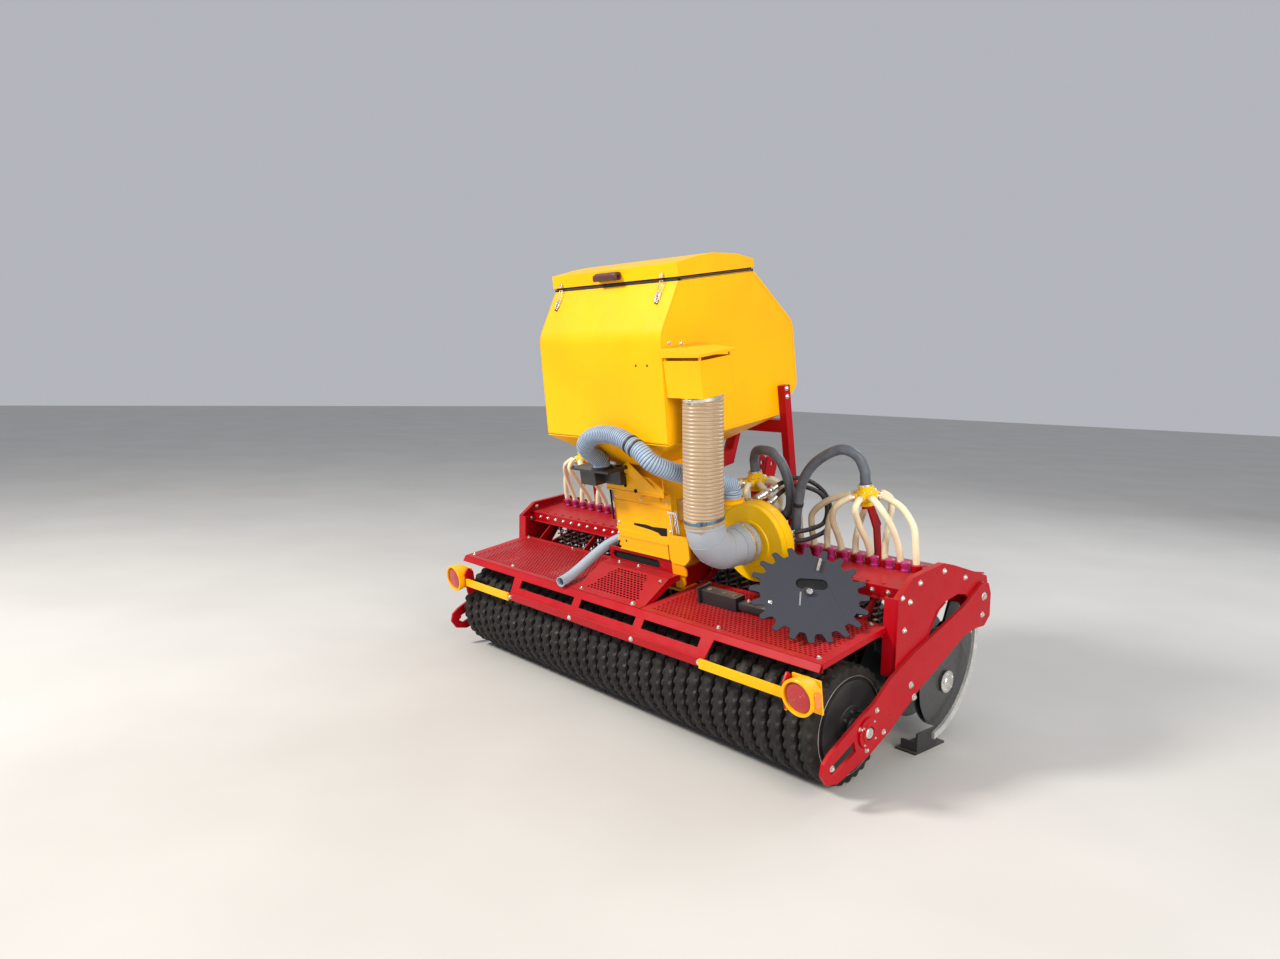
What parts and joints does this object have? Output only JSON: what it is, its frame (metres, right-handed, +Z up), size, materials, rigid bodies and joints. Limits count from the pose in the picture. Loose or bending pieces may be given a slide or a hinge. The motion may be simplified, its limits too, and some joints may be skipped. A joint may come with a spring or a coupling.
{
  "type": "mounted pneumatic grassland seed drill",
  "caption": "Tractor-mounted grassland seed drill: close disc rows under a hood, fan-fed hoses from a tall hopper, a ring roller behind and perforated footboards.",
  "frame": {"origin": "middle of the bounding box in plan, on the ground the drill is parked on", "axes": "+X to the machine's right, across the working width; +Y forward, towards the tractor; +Z up. The machine is stored parked, leaning nose up on its roller and legs."},
  "size_m": [2.658, 1.4624, 2.1029],
  "materials": {
    "red_paint": "gloss",
    "zinc": "zinc plated",
    "yellow_paint": "gloss",
    "tan_hose": "ribbed",
    "grey_plastic": "smooth",
    "blue_paint": "satin",
    "black_paint": "satin",
    "grey_hose": "ribbed",
    "feed_rubber": "smooth",
    "cream_hose": "smooth",
    "black_rubber": "matte",
    "wheel_paint": "satin",
    "disc_steel": "dark worn steel",
    "ring_iron": "black painted"
  },
  "bodies": {
    "machine": {"front_beam": "red_paint", "rear_beam": "red_paint", "element_shaft": "zinc", "side_plates": "red_paint", "mast": "red_paint", "link_plates": "red_paint", "hitch_and_stand_pins": "zinc", "element_hood": "red_paint", "footboards": "red_paint", "rear_guard": "red_paint", "rail_brackets": "red_paint", "light_arms": "yellow_paint", "rear_lights": "yellow_paint", "hopper_posts": "red_paint", "hopper_body": "yellow_paint", "hopper_funnel": "yellow_paint", "intake_hood": "yellow_paint", "intake_hose": "tan_hose", "fan_elbow": "grey_plastic", "fan_housing": "yellow_paint", "fan_motor": "blue_paint", "metering_unit": "yellow_paint", "metering_drive": "zinc", "hopper_tray": "black_paint", "tray_hose": "grey_hose", "drain_hose": "grey_hose", "distributor_heads": "yellow_paint", "head_posts": "red_paint", "feed_hoses": "feed_rubber", "seed_hoses": "cream_hose", "lower_hoses": "red_paint", "hydraulic_hoses": "black_rubber", "hose_couplers": "zinc", "element_arms": "black_paint", "element_springs": "zinc", "roller_arms": "red_paint", "roller_bearings": "black_paint", "drive_wheel": "wheel_paint", "drive_wheel_arm": "black_paint", "lid_latches": "zinc"},
    "lid": {"hopper_lid": "yellow_paint", "lid_handle": "black_paint"},
    "roller": {"roller_drum": "black_paint", "roller_rings": "ring_iron"},
    "rear_disc_row": {"rear_discs": "disc_steel"},
    "front_disc_row": {"front_discs": "disc_steel"},
    "left_leg": {"stand_left": "zinc", "foot_left": "black_paint"},
    "right_leg": {"stand_right": "zinc", "foot_right": "black_paint"}
  },
  "joints": [
    {"name": "lid_hinge", "type": "hinge", "parent": "machine", "child": "lid", "pos_m": [0, -0.12916, 2.06968], "axis": [-1, 0, 0], "range_deg": [0, 100]},
    {"name": "roller_axle", "type": "hinge", "parent": "machine", "child": "roller", "pos_m": [0, -0.39352, 0.24], "axis": [1, 0, 0], "continuous": true},
    {"name": "rear_disc_hubs", "type": "hinge", "parent": "machine", "child": "rear_disc_row", "pos_m": [0, 0.32869, 0.26567], "axis": [1, 0, 0], "continuous": true},
    {"name": "front_disc_hubs", "type": "hinge", "parent": "machine", "child": "front_disc_row", "pos_m": [0, 0.51066, 0.29903], "axis": [1, 0, 0], "continuous": true},
    {"name": "left_leg_pivot", "type": "hinge", "parent": "machine", "child": "left_leg", "pos_m": [-1.25, 0.48024, 0.60354], "axis": [1, 0, 0], "range_deg": [0, 100]},
    {"name": "right_leg_pivot", "type": "hinge", "parent": "machine", "child": "right_leg", "pos_m": [1.25, 0.48024, 0.60354], "axis": [1, 0, 0], "range_deg": [0, 100]}
  ]
}
